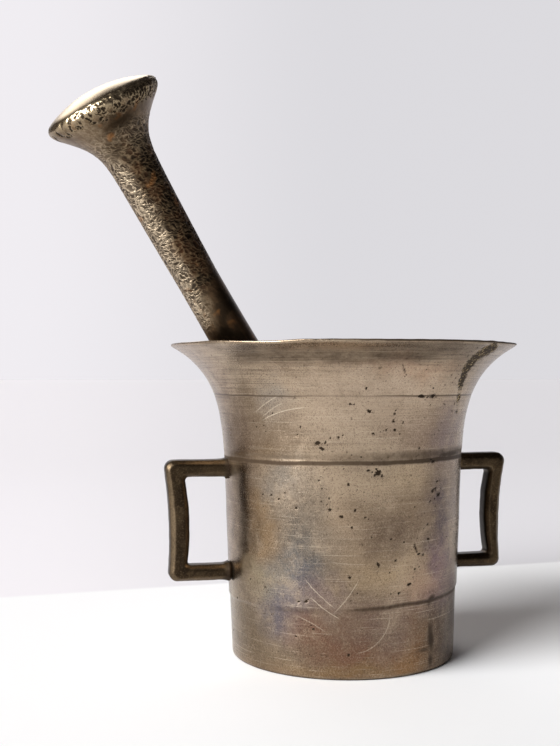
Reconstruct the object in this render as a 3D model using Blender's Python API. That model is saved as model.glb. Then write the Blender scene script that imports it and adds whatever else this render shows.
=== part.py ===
"""Cast brass apothecary mortar with two square handles and a pestle leaning in it.

Frame: metres, +Z up, origin at the middle of the mortar's flat base, the two handles along X.
The pestle leans over the rim on the -X side, turned a little towards -Y.
"""

from math import cos, exp, log, pi, radians, sin, sqrt, tan

import bmesh
import bpy
from mathutils import Matrix, Vector

MM = 0.001
GAP = 0.3 * MM                      # air left between two separate pieces that touch

# Mortar: driving dimensions
HEIGHT = 116 * MM
RIM_RADIUS = 65 * MM                # outer edge of the flared lip
LIP_THICKNESS = 1.7 * MM            # wall at the very edge
LIP_EDGE_HEIGHT = 1.6 * MM
NECK_RADIUS = 44.4 * MM             # outside of the barrel just above the belt
NECK_HEIGHT = 75 * MM
NECK_TAPER = 0.03
FLARE_REACH = 20.8 * MM             # how far the flare would stand out at the full height
FLARE_DEPTH = 10.88 * MM            # height over which the flare dies away by a factor e
BELT_TOP = 74.6 * MM
BELT_TOP_RADIUS = 44.8 * MM
BELT_BOTTOM = 24.0 * MM
BELT_BOTTOM_RADIUS = 43.1 * MM
STEP_GROOVE = 0.45 * MM             # depth of the turned line above the belt
FOOT_TOP_RADIUS = 42.6 * MM
FOOT_TOP = 23.2 * MM
FOOT_RADIUS = 41.7 * MM
FOOT_CHAMFER = 0.8 * MM
BORE_RADIUS = 39.5 * MM             # inside of the barrel at the neck height
BORE_TAPER = 0.02
BORE_FLARE_DEPTH = 13 * MM
FLOOR_THICKNESS = 12 * MM
BOWL_CORNER = 20 * MM               # radius where the inner wall turns into the floor
TURN_SEGMENTS = 64

# Handles: one dictionary each, because they were filed up by hand and differ a little.
# Radii are distances from the mortar's axis at the top, the middle and the bottom of the grip.
HANDLE_DEPTH = 8.6 * MM             # along the mortar's wall
HANDLE_CHAMFER = 1.8 * MM
HANDLE_OUTER_CORNER = 3.2 * MM
HANDLE_INNER_CORNER = 1.2 * MM
TENON_RADIUS = 42.2 * MM            # how far in towards the axis the arm ends reach
CUTTER_LENGTH = 14 * MM             # from the bottom of a socket to clear air outside the wall
HANDLES = {
    "handle_left": {
        "side": -1,
        "top": 73.2 * MM,
        "bottom": 28.8 * MM,
        "upper_arm": 6.3 * MM,
        "lower_arm": 5.9 * MM,
        "outer": (68.3 * MM, 66.0 * MM, 66.5 * MM),
        "inner": (60.6 * MM, 58.8 * MM, 59.6 * MM),
    },
    "handle_right": {
        "side": 1,
        "top": 74.0 * MM,
        "bottom": 29.6 * MM,
        "upper_arm": 6.5 * MM,
        "lower_arm": 5.2 * MM,
        "outer": (66.4 * MM, 63.4 * MM, 63.7 * MM),
        "inner": (59.3 * MM, 57.2 * MM, 58.7 * MM),
    },
}

# Pestle: lengths run along its axis from the centre of the round pounding end.
POUNDING_RADIUS = 16 * MM
SHAFT_RADIUS = 7.2 * MM             # thinnest part of the shaft
POUNDING_TAPER = 53 * MM            # length over which the pounding end narrows to the shaft
POUNDING_TAPER_POWER = 1.6
HEAD_TOP = 204.4 * MM
HEAD_RADIUS = 19.2 * MM
DOME_RADIUS = 44 * MM               # ball radius of the flat dome on the head
HEAD_EDGE = 1.7 * MM                # half the height of the rounded edge of the head
HEAD_CONE_START = 186.6 * MM        # where the cone under the head meets the shaft line
HEAD_CONE_SOFTNESS = 3.24 * MM
HEAD_CONE_SLOPE = 1.19
SHAFT_SWELL = 0.0189                # slow widening of the shaft towards the head
SHAFT_SWELL_START = 131.7 * MM
PESTLE_LEAN = radians(34.3)         # from vertical
PESTLE_AZIMUTH = radians(19.5)      # turned from -X towards -Y
PESTLE_RIM_RADIUS = 47.3 * MM       # distance of its axis from the mortar's axis at rim height
BEND_START = 110 * MM               # from here up the shaft is bent slightly upright
BEND_RADIUS = 1990 * MM
PESTLE_SEGMENTS = 36

# Finishes: base colour, roughness
BRASS_BODY = ((0.36, 0.27, 0.19), 0.36)
BRASS_HANDLE = ((0.17, 0.125, 0.08), 0.42)
BRASS_PESTLE = ((0.34, 0.25, 0.15), 0.32)


def clear_scene():
    for old in list(bpy.data.objects):
        bpy.data.objects.remove(old, do_unlink=True)


def brass(name, finish):
    colour, roughness = finish
    material = bpy.data.materials.new(name)
    material.use_nodes = True
    shader = material.node_tree.nodes["Principled BSDF"]
    shader.inputs["Base Color"].default_value = (*colour, 1)
    shader.inputs["Roughness"].default_value = roughness
    shader.inputs["Metallic"].default_value = 1.0
    return material


def add_object(name, bm, material=None):
    """Makes a scene object from a bmesh with outward faces."""
    bmesh.ops.recalc_face_normals(bm, faces=bm.faces)
    mesh = bpy.data.meshes.new(name)
    bm.to_mesh(mesh)
    bm.free()
    if material:
        mesh.materials.append(material)
    obj = bpy.data.objects.new(name, mesh)
    bpy.context.scene.collection.objects.link(obj)
    return obj


def turned(name, outline, segments, material):
    """Turns an outline of (radius, height) points, which starts and ends on the axis, about Z."""
    bm = bmesh.new()
    corners = [bm.verts.new((radius, 0, height)) for radius, height in outline]
    line = [bm.edges.new(pair) for pair in zip(corners, corners[1:])]
    bmesh.ops.spin(
        bm,
        geom=corners + line,
        cent=(0, 0, 0),
        axis=(0, 0, 1),
        angle=2 * pi,
        steps=segments,
        use_merge=True,
    )
    bmesh.ops.remove_doubles(bm, verts=bm.verts, dist=0.001 * MM)
    obj = add_object(name, bm, material)
    obj.data.shade_smooth()
    obj.data.set_sharp_from_angle(angle=radians(35))
    return obj


def flare_radius(height):
    """Outside of the mortar above the belt: a straight barrel plus the trumpet-shaped lip."""
    barrel = NECK_RADIUS + NECK_TAPER * (height - NECK_HEIGHT)
    return barrel + FLARE_REACH * exp((height - HEIGHT) / FLARE_DEPTH)


def bore_radius(height):
    """Inside of the mortar above the bowl."""
    lip = RIM_RADIUS - LIP_THICKNESS - BORE_RADIUS - BORE_TAPER * (HEIGHT - NECK_HEIGHT)
    barrel = BORE_RADIUS + BORE_TAPER * (height - NECK_HEIGHT)
    return barrel + lip * exp((height - HEIGHT) / BORE_FLARE_DEPTH)


def spaced(start, end, count, crowding=1.0):
    """Heights from start to end, closer together near start when crowding is above 1."""
    return [start + (end - start) * (step / count) ** crowding for step in range(count + 1)]


def mortar_outline():
    lip_bottom = HEIGHT - LIP_EDGE_HEIGHT
    groove = BELT_TOP + STEP_GROOVE
    outline = [(0, 0)]
    outline += [(FOOT_RADIUS - FOOT_CHAMFER, 0), (FOOT_RADIUS, FOOT_CHAMFER)]
    outline += [(FOOT_TOP_RADIUS, FOOT_TOP), (BELT_BOTTOM_RADIUS, BELT_BOTTOM)]
    outline += [(BELT_TOP_RADIUS, BELT_TOP)]
    outline += [(flare_radius(groove) - STEP_GROOVE, groove)]
    flare = spaced(lip_bottom, groove + 2 * STEP_GROOVE, 13, crowding=1.7)
    outline += [(flare_radius(height), height) for height in reversed(flare)]
    outline += [(RIM_RADIUS, HEIGHT), (RIM_RADIUS - LIP_THICKNESS, HEIGHT)]
    bowl_top = FLOOR_THICKNESS + BOWL_CORNER
    bore = spaced(HEIGHT, bowl_top, 13, crowding=1.7)[1:]
    outline += [(bore_radius(height), height) for height in bore]
    corner_radius = bore_radius(bowl_top) - BOWL_CORNER
    for step in range(1, 7):
        angle = pi / 2 * step / 6
        radius = corner_radius + BOWL_CORNER * cos(angle)
        outline.append((radius, bowl_top - BOWL_CORNER * sin(angle)))
    outline.append((0, FLOOR_THICKNESS))
    return outline


def arm_cutter(name, handle, low, high):
    """A chamfered bar, GAP larger all round than the arm end that sits in the mortar's wall."""
    half_depth = HANDLE_DEPTH / 2 + GAP
    bottom = low - GAP
    top = high + GAP
    section = [
        (half_depth, bottom + HANDLE_CHAMFER),
        (half_depth, top - HANDLE_CHAMFER),
        (half_depth - HANDLE_CHAMFER, top),
        (HANDLE_CHAMFER - half_depth, top),
        (-half_depth, top - HANDLE_CHAMFER),
        (-half_depth, bottom + HANDLE_CHAMFER),
        (HANDLE_CHAMFER - half_depth, bottom),
        (half_depth - HANDLE_CHAMFER, bottom),
    ]
    near = handle["side"] * (TENON_RADIUS - GAP)
    bm = bmesh.new()
    end = bm.faces.new([bm.verts.new((near, y, z)) for y, z in section])
    extruded = bmesh.ops.extrude_face_region(bm, geom=[end])["geom"]
    far = [item for item in extruded if isinstance(item, bmesh.types.BMVert)]
    bmesh.ops.translate(bm, vec=(handle["side"] * CUTTER_LENGTH, 0, 0), verts=far)
    cutter = add_object(name, bm)
    cutter.hide_render = True
    cutter.display_type = "WIRE"
    return cutter


def make_mortar_body():
    material = brass("mortar_brass", BRASS_BODY)
    body = turned("mortar_body", mortar_outline(), TURN_SEGMENTS, material)
    for name, handle in HANDLES.items():
        arms = {
            "upper": (handle["top"] - handle["upper_arm"], handle["top"]),
            "lower": (handle["bottom"], handle["bottom"] + handle["lower_arm"]),
        }
        for arm, (low, high) in arms.items():
            cut = body.modifiers.new(f"{name}_{arm}_socket", "BOOLEAN")
            cut.operation = "DIFFERENCE"
            cut.solver = "EXACT"
            cut.object = arm_cutter(f"{name}_{arm}_cutter", handle, low, high)
    return body


def through(three, fraction):
    """A smooth curve through three values, at fraction 0, 1/2 and 1."""
    start, middle, end = three
    bow = middle - (start + end) / 2
    return start + (end - start) * fraction + 4 * bow * fraction * (1 - fraction)


def grip_line(radii, high, low, steps):
    points = []
    for step in range(steps + 1):
        fraction = step / steps
        points.append(Vector((through(radii, fraction), high + (low - high) * fraction)))
    return points


def rounded(before, corner, after, radius, steps):
    """Points of an arc that rounds off a corner between two straight runs."""
    to_before = (before - corner).normalized()
    to_after = (after - corner).normalized()
    half_angle = to_before.angle(to_after) / 2
    reach = radius / tan(half_angle)
    centre = corner + (to_before + to_after).normalized() * radius / sin(half_angle)
    start = corner + to_before * reach - centre
    end = corner + to_after * reach - centre
    sweep = start.angle(end)
    points = []
    for step in range(steps + 1):
        fraction = step / steps
        blend = start * sin((1 - fraction) * sweep) + end * sin(fraction * sweep)
        points.append(centre + blend / sin(sweep))
    return points


def handle_outline(handle, inset):
    """Outline of a handle in the plane of radius and height, shrunk all round by inset."""
    top = handle["top"] - inset
    bottom = handle["bottom"] + inset
    under_top = handle["top"] - handle["upper_arm"] + inset
    over_bottom = handle["bottom"] + handle["lower_arm"] - inset
    outer_radii = [radius - inset for radius in handle["outer"]]
    inner_radii = [radius + inset for radius in reversed(handle["inner"])]
    outer = grip_line(outer_radii, top, bottom, 8)
    inner = grip_line(inner_radii, over_bottom, under_top, 8)
    ends = [Vector((TENON_RADIUS + inset, z)) for z in (top, bottom, over_bottom, under_top)]
    outer_corner = HANDLE_OUTER_CORNER - inset
    inner_corner = HANDLE_INNER_CORNER + inset
    outline = [ends[0]]
    outline += rounded(ends[0], outer[0], outer[1], outer_corner, 4)
    outline += outer[2:-2]
    outline += rounded(outer[-2], outer[-1], ends[1], outer_corner, 4)
    outline += [ends[1], ends[2]]
    outline += rounded(ends[2], inner[0], inner[1], inner_corner, 4)
    outline += inner[2:-2]
    outline += rounded(inner[-2], inner[-1], ends[3], inner_corner, 4)
    outline += [ends[3]]
    return outline


def make_handle(name, handle):
    half_depth = HANDLE_DEPTH / 2
    flat = half_depth - HANDLE_CHAMFER
    layers = [
        (HANDLE_CHAMFER, -half_depth),
        (0, -flat),
        (0, flat),
        (HANDLE_CHAMFER, half_depth),
    ]
    bm = bmesh.new()
    loops = []
    for inset, depth in layers:
        outline = handle_outline(handle, inset)
        loops.append([bm.verts.new((handle["side"] * p.x, depth, p.y)) for p in outline])
    for near, far in zip(loops, loops[1:]):
        for index in range(len(near)):
            nxt = (index + 1) % len(near)
            bm.faces.new((near[index], near[nxt], far[nxt], far[index]))
    bm.faces.new(loops[0])
    bm.faces.new(loops[-1])
    return add_object(name, bm, brass(f"{name}_brass", BRASS_HANDLE))


def pestle_radius(along):
    """Radius of the pestle between its pounding end and the widest part of its head."""
    bulge = POUNDING_RADIUS - SHAFT_RADIUS
    pounding = bulge * exp(-((along / POUNDING_TAPER) ** POUNDING_TAPER_POWER))
    swell = SHAFT_SWELL * max(along - SHAFT_SWELL_START, 0)
    climb = (along - HEAD_CONE_START) / HEAD_CONE_SOFTNESS
    cone = HEAD_CONE_SLOPE * HEAD_CONE_SOFTNESS * log(1 + exp(climb))
    return SHAFT_RADIUS + pounding + swell + cone


def pestle_outline():
    outline = []
    for step in range(6):
        angle = pi / 2 * step / 6
        outline.append((POUNDING_RADIUS * sin(angle), -POUNDING_RADIUS * cos(angle)))
    dome_drop = DOME_RADIUS - sqrt(DOME_RADIUS ** 2 - (HEAD_RADIUS - HEAD_EDGE / 2) ** 2)
    edge_middle = HEAD_TOP - dome_drop - HEAD_EDGE
    neck = HEAD_CONE_START - 3 * HEAD_CONE_SOFTNESS
    cone_end = edge_middle - HEAD_EDGE
    outline += [(pestle_radius(along), along) for along in spaced(0, neck, 16)]
    outline += [(pestle_radius(along), along) for along in spaced(neck, cone_end, 9)[1:]]
    start_radius = pestle_radius(cone_end)
    for step in range(1, 6):
        angle = pi / 2 * step / 6
        radius = start_radius + (HEAD_RADIUS - start_radius) * sin(angle)
        outline.append((radius, edge_middle - HEAD_EDGE * cos(angle)))
    for step in range(5):
        angle = pi / 2 * step / 5
        radius = HEAD_RADIUS - HEAD_EDGE / 2 * (1 - cos(angle))
        outline.append((radius, edge_middle + HEAD_EDGE * sin(angle)))
    for step in range(7):
        radius = (HEAD_RADIUS - HEAD_EDGE / 2) * (1 - step / 7)
        drop = DOME_RADIUS - sqrt(DOME_RADIUS ** 2 - radius ** 2)
        outline.append((radius, HEAD_TOP - drop))
    outline.append((0, HEAD_TOP))
    return outline


def bent(point):
    """Moves a point of the straight pestle to its place on the slightly curved one."""
    if point.z < BEND_START:
        return point
    angle = (point.z - BEND_START) / BEND_RADIUS
    arm = BEND_RADIUS - point.x
    return Vector((BEND_RADIUS - arm * cos(angle), point.y, BEND_START + arm * sin(angle)))


def make_pestle():
    """The pestle stands in a rest that holds its lean and moves up and down."""
    material = brass("pestle_brass", BRASS_PESTLE)
    pestle = turned("pestle", pestle_outline(), PESTLE_SEGMENTS, material)
    for corner in pestle.data.vertices:
        corner.co = bent(corner.co)
    end_height = FLOOR_THICKNESS + POUNDING_RADIUS + GAP
    end_reach = PESTLE_RIM_RADIUS - (HEIGHT - end_height) * tan(PESTLE_LEAN)
    lift = bpy.data.objects.new("pestle_lift_axis", None)
    bpy.context.scene.collection.objects.link(lift)
    lift.location = Matrix.Rotation(PESTLE_AZIMUTH, 3, "Z") @ Vector((-end_reach, 0, end_height))
    pestle.parent = lift
    pestle.rotation_euler = (0, -PESTLE_LEAN, PESTLE_AZIMUTH)
    return pestle


def main():
    clear_scene()
    make_mortar_body()
    for name, handle in HANDLES.items():
        make_handle(name, handle)
    make_pestle()


main()
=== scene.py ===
import math

import bmesh
import bpy
import numpy as np
from mathutils import Matrix, Vector, noise


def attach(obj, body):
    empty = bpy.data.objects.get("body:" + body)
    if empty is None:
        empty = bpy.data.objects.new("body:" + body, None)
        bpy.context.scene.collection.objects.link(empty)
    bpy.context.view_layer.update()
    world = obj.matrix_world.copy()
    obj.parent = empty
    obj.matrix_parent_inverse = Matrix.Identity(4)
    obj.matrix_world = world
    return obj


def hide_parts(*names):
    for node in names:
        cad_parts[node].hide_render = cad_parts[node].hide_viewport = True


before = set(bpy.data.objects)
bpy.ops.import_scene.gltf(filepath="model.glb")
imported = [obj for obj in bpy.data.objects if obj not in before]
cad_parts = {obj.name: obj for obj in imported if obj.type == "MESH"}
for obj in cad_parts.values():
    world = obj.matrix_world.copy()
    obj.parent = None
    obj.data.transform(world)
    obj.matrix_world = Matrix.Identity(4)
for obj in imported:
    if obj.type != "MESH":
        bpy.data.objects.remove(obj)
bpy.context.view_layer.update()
mm = 0.001
frontTurn = math.radians(-16.4)  # the worn face of the mortar looks this far towards -X
print("frame loaded:", sorted(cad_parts))


class Wire:
    # one output socket that can be used in plain arithmetic
    def __init__(self, bench, socket):
        self.bench, self.socket = bench, socket

    def __add__(self, other): return self.bench.math("ADD", self, other)
    def __radd__(self, other): return self.bench.math("ADD", other, self)
    def __sub__(self, other): return self.bench.math("SUBTRACT", self, other)
    def __rsub__(self, other): return self.bench.math("SUBTRACT", other, self)
    def __mul__(self, other): return self.bench.math("MULTIPLY", self, other)
    def __truediv__(self, other): return self.bench.math("DIVIDE", self, other)
    def __pow__(self, other): return self.bench.math("POWER", self, other)
    def __gt__(self, other): return self.bench.math("GREATER_THAN", self, other)
    def __abs__(self): return self.bench.math("ABSOLUTE", self)

    def larger(self, other): return self.bench.math("MAXIMUM", self, other)
    def smaller(self, other): return self.bench.math("MINIMUM", self, other)

    def rise(self, low, high, toLow=0.0, toHigh=1.0):
        # soft step from toLow at low to toHigh at high
        return self.bench.add("ShaderNodeMapRange", {"interpolation_type": "SMOOTHSTEP"},
                              {"Value": self, "From Min": low, "From Max": high,
                               "To Min": toLow, "To Max": toHigh})

    def fall(self, low, high):
        return 1.0 - self.rise(low, high)


class Bench:
    # a node tree with short ways to add nodes to it
    def __init__(self, tree):
        self.tree = tree

    def add(self, kind, settings=None, inputs=None, out=0):
        node = self.tree.nodes.new(kind)
        for key, value in (settings or {}).items():
            setattr(node, key, value)
        for key, value in (inputs or {}).items():
            socket = node.inputs[key]
            if isinstance(value, Wire):
                self.tree.links.new(value.socket, socket)
            else:
                socket.default_value = value
        return Wire(self, node.outputs[out])

    def math(self, operation, *values):
        return self.add("ShaderNodeMath", {"operation": operation}, dict(enumerate(values)))

    def vector(self, operation, *values, out=0, **named):
        return self.add("ShaderNodeVectorMath", {"operation": operation},
                        {**dict(enumerate(values)), **named}, out)

    def mix(self, factor, first, second):
        first, second = [c if isinstance(c, Wire) else (*c, 1) for c in (first, second)]
        return self.add("ShaderNodeMix", {"data_type": "RGBA"}, {0: factor, 6: first, 7: second}, 2)

    def layers(self, colour, *coats):
        # each coat is a factor and the colour it lays over what is there
        for factor, tone in coats:
            colour = self.mix(factor, colour, tone)
        return colour

    def split(self, vector):
        node = self.add("ShaderNodeSeparateXYZ", None, {0: vector}).socket.node
        return [Wire(self, node.outputs[i]) for i in range(3)]

    def join(self, x, y, z):
        return self.add("ShaderNodeCombineXYZ", None, {0: x, 1: y, 2: z})

    def turned(self, vector, rotation, scale=(1, 1, 1)):
        return self.add("ShaderNodeMapping", {"vector_type": "POINT"},
                        {"Vector": vector, "Rotation": rotation, "Scale": scale})

    def objectPlace(self):
        # the place on the piece, in mm
        return self.vector("SCALE", self.add("ShaderNodeTexCoord", None, None, "Object"), Scale=1000.0)

    def distance(self, x, y):
        return self.math("SQRT", x ** 2.0 + y ** 2.0)

    def cloud(self, place, scale, detail=2.0, rough=0.5, warp=0.0):
        return self.add("ShaderNodeTexNoise", None,
                        {"Vector": place, "Scale": scale, "Detail": detail,
                         "Roughness": rough, "Distortion": warp})

    def cells(self, place, scale=1.0, feature="F1", out="Distance"):
        return self.add("ShaderNodeTexVoronoi", {"feature": feature},
                        {"Vector": place, "Scale": scale, "Randomness": 1.0}, out)

    def cellChance(self, place, scale=1.0):
        # a random number for each cell, 0 to 1
        return self.split(self.cells(place, scale, out="Color"))[0]

    def attribute(self, name, out="Fac"):
        return self.add("ShaderNodeAttribute", {"attribute_name": name}, None, out)

    def stored(self, name):
        # the same number inside a Geometry Nodes tree
        return self.add("GeometryNodeInputNamedAttribute", {"data_type": "FLOAT"}, {"Name": name})

    def bump(self, relief, strength, distance):
        return self.add("ShaderNodeBump", None,
                        {"Strength": strength, "Distance": distance, "Height": relief})


def newFinish(name):
    # a material with its Principled shader, and the bench of its tree
    material = bpy.data.materials.new(name)
    material.use_nodes = True
    tree = material.node_tree
    shader = next(n for n in tree.nodes if n.type == "BSDF_PRINCIPLED")
    return material, shader, Bench(tree)


def plug(bench, shader, **wires):
    for name, wire in wires.items():
        bench.tree.links.new(wire.socket, shader.inputs[name.replace("_", " ")])


def meshObject(name, points, faces, finish, marks=None):
    # a smooth mesh; marks are values stored at each point: a number, a vector or a colour
    mesh = bpy.data.meshes.new(name)
    mesh.from_pydata(points.tolist(), [], faces)
    mesh.shade_smooth()
    kinds = {1: ("FLOAT", "value"), 3: ("FLOAT_VECTOR", "vector"), 4: ("FLOAT_COLOR", "color")}
    for key, values in (marks or {}).items():
        kind, field = kinds[values.size // len(values)]
        stored = mesh.attributes.new(key, kind, "POINT")
        stored.data.foreach_set(field, values.astype(np.float32).ravel())
    mesh.materials.append(finish)
    piece = bpy.data.objects.new(name, mesh)
    bpy.context.scene.collection.objects.link(piece)
    return piece


def roundTurns(count, front, crowd):
    # angles round the axis, packed closer together on the front
    even = np.linspace(-math.pi, math.pi, count, endpoint=False)
    return front + even - crowd * np.sin(even)


def gridFaces(rows, columns):
    # quads between rings of points, and a fan at each end to the two pole points that follow them
    faces = []
    for low in range(0, (rows - 1) * columns, columns):
        for j in range(columns):
            k = (j + 1) % columns
            faces.append((low + j, low + k, low + columns + k, low + columns + j))
    last, pole = (rows - 1) * columns, rows * columns
    for j in range(columns):
        k = (j + 1) % columns
        faces.append((pole, k, j))
        faces.append((pole + 1, last + j, last + k))
    return faces


def softStep(value, low, high):
    t = np.clip((value - low) / (high - low), 0, 1)
    return t * t * (3 - 2 * t)


def roughness3(points, scale, seed=0.0, detail=3):
    # layered smooth noise at each point, about -1 to 1
    return np.array([noise.fractal(Vector(p) * scale + Vector((seed, seed, seed)), 1.0, 2.0, detail)
                     for p in points.tolist()])


def spot(side, height, at, size, turn=0.0):
    # a soft ellipse on the front of the mortar: 1 in the middle, 0 outside; sizes in mm
    c, s = math.cos(math.radians(turn)), math.sin(math.radians(turn))
    u, v = side - at[0], height - at[1]
    along, across = (u * c + v * s) / size[0], (-u * s + v * c) / size[1]
    return 1 - softStep(np.sqrt(along ** 2 + across ** 2), 0.0, 1.0)


def frozen(piece):
    # the evaluated result as a plain mesh, with no modifier left
    done = bpy.data.meshes.new_from_object(
        piece.evaluated_get(bpy.context.evaluated_depsgraph_get()),
        preserve_all_data_layers=True, depsgraph=bpy.context.evaluated_depsgraph_get())
    piece.modifiers.clear()
    old, piece.data = piece.data, done
    done.name = old.name
    bpy.data.meshes.remove(old)
    done.shade_smooth()
    return piece


def geometryTree(name, inputs):
    # a Geometry Nodes tree with a Geometry socket in and out and the named inputs
    tree = bpy.data.node_groups.new(name, "GeometryNodeTree")
    tree.interface.new_socket("Geometry", in_out="INPUT", socket_type="NodeSocketGeometry")
    tree.interface.new_socket("Geometry", in_out="OUTPUT", socket_type="NodeSocketGeometry")
    kinds = {int: "NodeSocketInt", float: "NodeSocketFloat", bpy.types.Material: "NodeSocketMaterial"}
    for key, value in inputs.items():
        tree.interface.new_socket(key, in_out="INPUT", socket_type=kinds[type(value)])
    bench = Bench(tree)
    start = tree.nodes.new("NodeGroupInput")
    return tree, bench, {o.name: Wire(bench, o) for o in start.outputs if o.name}


def closeTree(bench, geometry, finish):
    whole = bench.add("GeometryNodeRealizeInstances", None, {"Geometry": geometry})
    shown = bench.add("GeometryNodeSetMaterial", None, {"Geometry": whole, "Material": finish})
    end = bench.tree.nodes.new("NodeGroupOutput")
    bench.tree.links.new(shown.socket, end.inputs[0])


def runTree(piece, tree, values):
    # the tree as a modifier with these inputs, then frozen into the mesh
    modifier = piece.modifiers.new(tree.name, "NODES")
    modifier.node_group = tree
    for item in tree.interface.items_tree:
        if item.in_out == "INPUT" and item.name in values:
            modifier[item.identifier] = values[item.name]
    bpy.context.view_layer.update()
    return frozen(piece)


# the mortar: one closed skin, outside and inside, sizes in mm
mortar = {
    "columns": 330, "crowd": 0.5, "top": 116.0,
    "under": [(8.0, 0.0), (20.0, 0.0), (31.0, 0.0), (38.0, 0.0), (40.7, 0.0), (41.25, 0.12), (41.58, 0.42),
              (41.7, 0.85)],
    "rows": [(1.3, 21.5, 0.6), (21.5, 28, 0.33), (28, 73, 0.55), (73, 78, 0.25), (78, 111.6, 0.55),
             (111.6, 114.4, 0.4)],
    "lip": [(64.0, 114.7), (64.65, 115.1), (64.95, 115.5), (64.85, 115.85), (64.4, 116.0), (63.8, 116.0),
            (63.3, 115.9)],
    "insideRows": [115.4, 114.6, 113.4, 112, 110, 107.5, 104.5, 101, 97, 92.5, 88, 83, 77, 70, 62, 54, 46,
                   39, 32],
    "neck": 44.4, "neckAt": 75.0, "neckTaper": 0.03, "flare": 20.8, "flareFade": 10.88,
    "beltTop": 44.8, "beltTopAt": 74.9, "beltTopStep": (-1.3, 0.35),
    "beltEnd": 43.1, "beltEndAt": 24.0, "beltEndStep": (-1.1, 0.4),
    "beltTopWave": (0.25, ((0.5, 1, 0), (0.12, 7, 2), (0.06, 17, 0))),
    "beltEndWave": (0.7, ((2.1, 1, 0), (0.2, 5, 0), (0.12, 13, 1))),
    "waveFrom": (8.0, 20.0), "waveTo": (84.0, 100.0),
    "foot": 42.6, "footEnd": 41.7, "footFrom": 0.8, "footHeight": 22.4,
    "cove": 0.1, "coveWidth": 0.75,
    "turnedLine": 97.0, "turnedDepth": 0.16, "turnedWidth": 0.22,
    "faintLine": 83.4, "faintDepth": 0.10, "faintWidth": 0.2,
    "bore": 39.5, "boreTaper": 0.02, "boreFlare": 22.98, "boreFade": 13.0,
    "floor": 12.0, "bowl": 20.0, "bowlFrom": 0.17, "bowlRows": 9, "bed": (12.0, 6.0),
    "uneven": 0.16, "grainy": 0.03, "lipUneven": 0.22, "lipDip": 0.55, "lipDipAt": -26.0, "lipDipReach": 17.0,
    "scarDepth": 0.12, "scarWidth": 1.7, "scarNarrows": 0.95, "handPitDepth": 0.12,
    "pitSeed": 7, "pitDensity": 40000.0, "pitSmallest": 0.26, "pitLargest": 0.8, "pitDepth": 0.16,
    "tarnishAndShadeSpread": 1.35, "backTarnish": (0.24, 0.17, 0.13),
}
# scale and seed of the noises the mortar's skin is made with
mortarNoises = {"slow": (0.045, 3.0), "slowToo": (0.05, 23.0), "mid": (0.16, 17.0), "fine": (0.35, 11.0),
                "patch": (0.03, 31.0)}
handPits = [  # single large pits: side, height, length, width, turn
    (-24.6, 62.7, 1.0, 0.8, 0), (-21.7, 61.6, 1.3, 0.6, 30), (-15.7, 58.8, 1.0, 0.9, 0),
    (-7.8, 68.4, 0.9, 0.7, 0), (-4.1, 58.6, 1.6, 0.7, 0), (-0.3, 56.3, 1.7, 0.9, 0),
    (4.4, 58.6, 1.2, 0.8, 40), (7.8, 56.2, 0.8, 0.7, 0), (8.9, 72.0, 1.4, 0.8, 0), (12.2, 71.3, 2.4, 1.6, 20),
    (13.6, 70.0, 1.2, 0.9, 60), (11.0, 70.2, 1.0, 0.8, 0), (31.7, 74.2, 1.5, 0.9, 20),
    (30.8, 75.0, 0.9, 0.7, 0), (33.3, 67.0, 1.2, 0.6, 45), (32.0, 64.5, 1.0, 0.6, 50),
    (33.8, 62.3, 1.6, 0.7, 50), (30.6, 60.2, 1.1, 0.6, 50), (29.9, 52.4, 0.9, 0.8, 0),
    (29.9, 47.2, 1.0, 0.9, 0), (25.1, 44.6, 1.7, 0.6, 115), (26.6, 42.4, 1.3, 0.8, 20),
    (18.4, 40.9, 1.2, 0.9, 0), (12.2, 39.8, 1.9, 0.9, 115), (2.6, 35.5, 1.1, 1.1, 0),
    (23.0, 32.2, 1.6, 0.9, 20), (19.5, 29.5, 1.0, 0.8, 0), (-12.2, 27.0, 1.8, 0.9, 40),
    (-14.8, 26.6, 0.9, 0.7, 0), (-26.8, 30.2, 1.1, 1.0, 0), (-9.8, 17.5, 1.1, 0.9, 0),
    (2.2, 8.9, 1.0, 1.1, 0), (-8.4, 81.2, 2.1, 1.3, 25), (-6.8, 79.4, 2.0, 1.1, -30),
    (-5.6, 81.6, 1.3, 0.9, 60), (-4.0, 83.1, 1.1, 0.5, 60), (-1.2, 83.3, 0.9, 0.8, 0),
    (0.2, 84.0, 0.9, 0.5, 60), (-14.2, 86.7, 1.1, 0.6, 100), (-15.3, 83.9, 1.3, 0.6, 20),
    (9.0, 92.2, 1.5, 1.1, -30), (2.7, 94.6, 0.9, 0.8, 0), (10.4, 84.4, 1.1, 0.8, 0),
    (26.5, 79.2, 0.8, 0.8, 0), (17.2, 88.6, 1.1, 0.8, 0), (17.9, 85.7, 1.0, 0.9, 0),
    (27.0, 97.2, 2.6, 1.1, 0), (31.0, 97.0, 2.0, 1.2, 0),
]
pitFields = [  # where the small pits crowd: side, height, length, width, share
    (-7, 81.5, 9, 5, 1.0), (12, 71, 6, 5, 1.0), (33, 63, 6, 10, 1.0), (16, 88, 9, 9, 0.7),
    (0, 60, 30, 16, 0.25), (28, 45, 12, 14, 0.45), (30, 97, 7, 5, 0.8), (-24, 60, 6, 9, 0.5),
    (14, 40, 18, 16, 0.3), (31, 26, 7, 5, 0.6), (-16, 16, 12, 10, 0.35), (34, 75, 8, 3, 0.6),
    (-28, 92, 8, 16, 0.25), (20, 104, 16, 6, 0.35),
]
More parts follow.
